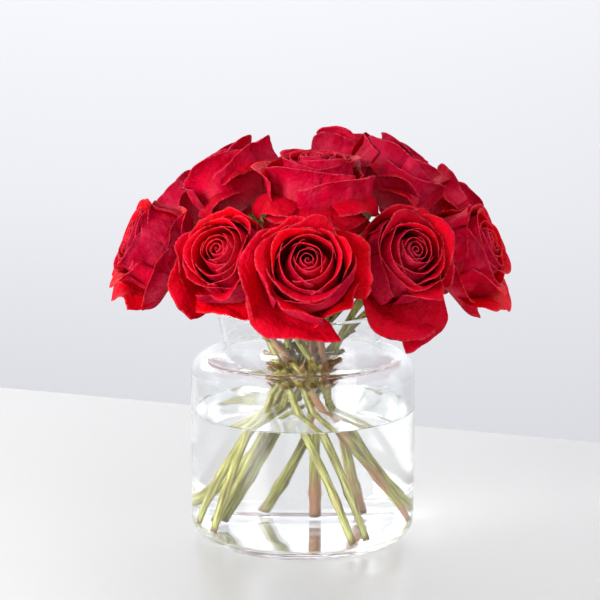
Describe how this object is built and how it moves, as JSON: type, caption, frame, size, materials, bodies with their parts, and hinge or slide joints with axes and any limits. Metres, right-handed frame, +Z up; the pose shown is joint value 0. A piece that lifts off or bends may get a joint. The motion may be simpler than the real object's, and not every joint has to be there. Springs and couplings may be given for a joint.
{
  "type": "roses in a vase",
  "caption": "Domed bouquet of open red roses with bare stems crossing in a clear glass vase of water, with a flat base to stand on.",
  "frame": {"origin": "middle of the vase's flat base, where it stands", "axes": "+Z up along the vase's axis, -Y to the front of the bouquet, +X to its right"},
  "size_m": [0.2641, 0.2587, 0.2747],
  "materials": {
    "vase_glass": "gloss",
    "water": "gloss",
    "stems": "satin",
    "petals": "satin"
  },
  "bodies": {
    "root": {"vase": "vase_glass", "water": "water", "stem_front": "stems", "bloom_front": "petals", "stem_front_left": "stems", "bloom_front_left": "petals", "stem_front_right": "stems", "bloom_front_right": "petals", "stem_left": "stems", "bloom_left": "petals", "stem_right": "stems", "bloom_right": "petals", "stem_back_left": "stems", "bloom_back_left": "petals", "stem_back": "stems", "bloom_back": "petals", "stem_back_right": "stems", "bloom_back_right": "petals", "stem_top_front": "stems", "bloom_top_front": "petals", "stem_top_left": "stems", "bloom_top_left": "petals", "stem_top_right": "stems", "bloom_top_right": "petals", "stem_top_back": "stems", "bloom_top_back": "petals"}
  },
  "joints": []
}
